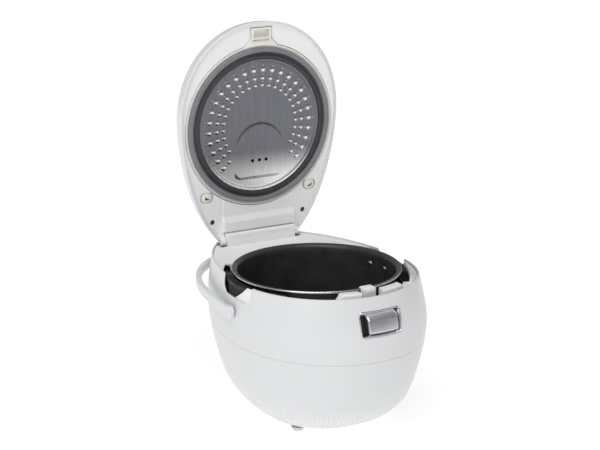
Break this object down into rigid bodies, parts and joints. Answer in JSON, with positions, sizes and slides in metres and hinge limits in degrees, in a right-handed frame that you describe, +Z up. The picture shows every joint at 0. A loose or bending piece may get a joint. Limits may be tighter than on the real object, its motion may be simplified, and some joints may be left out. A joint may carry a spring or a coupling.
{
  "type": "rice cooker",
  "caption": "Egg-shaped electric rice cooker with a sprung lid open on a rear hinge, lift-out pot with side grips, front push button and swinging carry handle.",
  "frame": {"origin": "middle of the bounding box in plan, at the plane the feet stand on, with the lid open and the handle lowered", "axes": "+Z up, -Y towards the front (the open button), +Y towards the hinge, +X to the right seen from the front"},
  "size_m": [0.276, 0.3744, 0.5058],
  "materials": {
    "white_plastic": "smooth white moulded plastic, soft gloss",
    "ivory_plastic": "warm ivory moulded plastic",
    "black_plastic": "black heat-resistant plastic, fine grain",
    "nonstick": "dark non-stick coating over aluminium, bare rim edge",
    "rubber": "dark grey silicone rubber",
    "steel": "brushed stainless steel",
    "chrome": "bright chrome plating",
    "satin_metal": "satin silver plating",
    "aluminium": "plain cast or spun aluminium",
    "grey_plastic": "grey moulded plastic",
    "board": "green circuit board",
    "display": "smoked display window"
  },
  "bodies": {
    "housing": {"base_cover": "white_plastic", "foot_front_left": "white_plastic", "foot_front_right": "white_plastic", "foot_rear_left": "white_plastic", "foot_rear_right": "white_plastic", "lower_shell": "white_plastic", "upper_shell": "white_plastic", "top_collar": "white_plastic", "inner_case": "aluminium", "side_heater": "rubber", "heater_plate": "aluminium", "heating_element": "steel", "thermal_fuse": "grey_plastic", "plunger_spring": "steel", "power_board": "board", "mains_inlet": "black_plastic", "hinge_block": "white_plastic", "hinge_pin": "steel", "hinge_spring": "steel", "button_bezel": "chrome", "button_spring": "steel", "latch_pin": "steel", "bail_pin_left": "grey_plastic", "bail_pin_right": "grey_plastic"},
    "plunger": {"thermostat_plunger": "aluminium"},
    "button": {"open_button": "satin_metal"},
    "latch": {"latch_hook": "white_plastic"},
    "bail": {"bail_handle": "white_plastic"},
    "pot": {"inner_pot": "nonstick", "pot_grip_left": "black_plastic", "pot_grip_right": "black_plastic", "rivet_left_front": "steel", "rivet_left_rear": "steel", "rivet_right_front": "steel", "rivet_right_rear": "steel"},
    "lid": {"lid_shell": "white_plastic", "lid_frame": "white_plastic", "inner_lid_ring": "ivory_plastic", "lid_catch": "ivory_plastic", "inner_lid_plate": "steel", "lid_gasket": "rubber", "lid_screw_left": "steel", "lid_screw_right": "steel", "steam_vent": "grey_plastic", "control_panel": "grey_plastic", "display_window": "display", "lid_board": "board"},
    "clip_left": {"lid_clip_left": "ivory_plastic"},
    "clip_right": {"lid_clip_right": "ivory_plastic"},
    "vent_cap": {"steam_cap": "grey_plastic"},
    "key_menu": {"key_menu": "white_plastic"},
    "key_minus": {"key_minus": "white_plastic"},
    "key_start": {"key_start": "white_plastic"},
    "key_plus": {"key_plus": "white_plastic"},
    "key_cancel": {"key_cancel": "white_plastic"}
  },
  "joints": [
    {"name": "lid_hinge", "type": "hinge", "parent": "housing", "child": "lid", "pos_m": [0, 0.13495, 0.203], "axis": [-1, 0, 0], "range_deg": [-87.5, 0], "stiffness_Nm_per_rad": 0.6, "springref_deg": 40.11},
    {"name": "bail_hinge", "type": "hinge", "parent": "housing", "child": "bail", "pos_m": [0, -0.03205, 0.163], "axis": [1, 0, 0], "range_deg": [0, 8]},
    {"name": "pot_lift", "type": "slide", "parent": "housing", "child": "pot", "axis": [0, 0, 1], "range_m": [0, 0.17]},
    {"name": "button_press", "type": "slide", "parent": "housing", "child": "button", "axis": [0, 1, 0], "range_m": [0, 0.004], "stiffness_N_per_m": 500, "springref_m": -0.002, "deforming": ["button_spring"]},
    {"name": "latch_pivot", "type": "hinge", "parent": "housing", "child": "latch", "pos_m": [0, -0.15255, 0.19], "axis": [1, 0, 0], "range_deg": [0, 11.5]},
    {"name": "plunger_slide", "type": "slide", "parent": "housing", "child": "plunger", "axis": [0, 0, 1], "range_m": [-0.0015, 0], "stiffness_N_per_m": 300, "springref_m": 0.003, "deforming": ["plunger_spring"]},
    {"name": "clip_left_slide", "type": "slide", "parent": "lid", "child": "clip_left", "axis": [-1, 0, 0], "range_m": [0, 0.0015], "stiffness_N_per_m": 600, "springref_m": -0.001},
    {"name": "clip_right_slide", "type": "slide", "parent": "lid", "child": "clip_right", "axis": [1, 0, 0], "range_m": [0, 0.0015], "stiffness_N_per_m": 600, "springref_m": -0.001},
    {"name": "vent_cap_pull", "type": "slide", "parent": "lid", "child": "vent_cap", "axis": [0, 0.999, 0.0436], "range_m": [0, 0.02]},
    {"name": "menu_key_press", "type": "slide", "parent": "lid", "child": "key_menu", "axis": [0, -0.999, -0.0436], "range_m": [0, 0.0008], "stiffness_N_per_m": 900, "springref_m": -0.0006},
    {"name": "minus_key_press", "type": "slide", "parent": "lid", "child": "key_minus", "axis": [0, -0.999, -0.0436], "range_m": [0, 0.0008], "stiffness_N_per_m": 900, "springref_m": -0.0006},
    {"name": "start_key_press", "type": "slide", "parent": "lid", "child": "key_start", "axis": [0, -0.999, -0.0436], "range_m": [0, 0.0008], "stiffness_N_per_m": 900, "springref_m": -0.0006},
    {"name": "plus_key_press", "type": "slide", "parent": "lid", "child": "key_plus", "axis": [0, -0.999, -0.0436], "range_m": [0, 0.0008], "stiffness_N_per_m": 900, "springref_m": -0.0006},
    {"name": "cancel_key_press", "type": "slide", "parent": "lid", "child": "key_cancel", "axis": [0, -0.999, -0.0436], "range_m": [0, 0.0008], "stiffness_N_per_m": 900, "springref_m": -0.0006}
  ],
  "couplings": [
    {"joint": "latch_pivot", "follows": "button_press", "rad_per_m": 48}
  ]
}
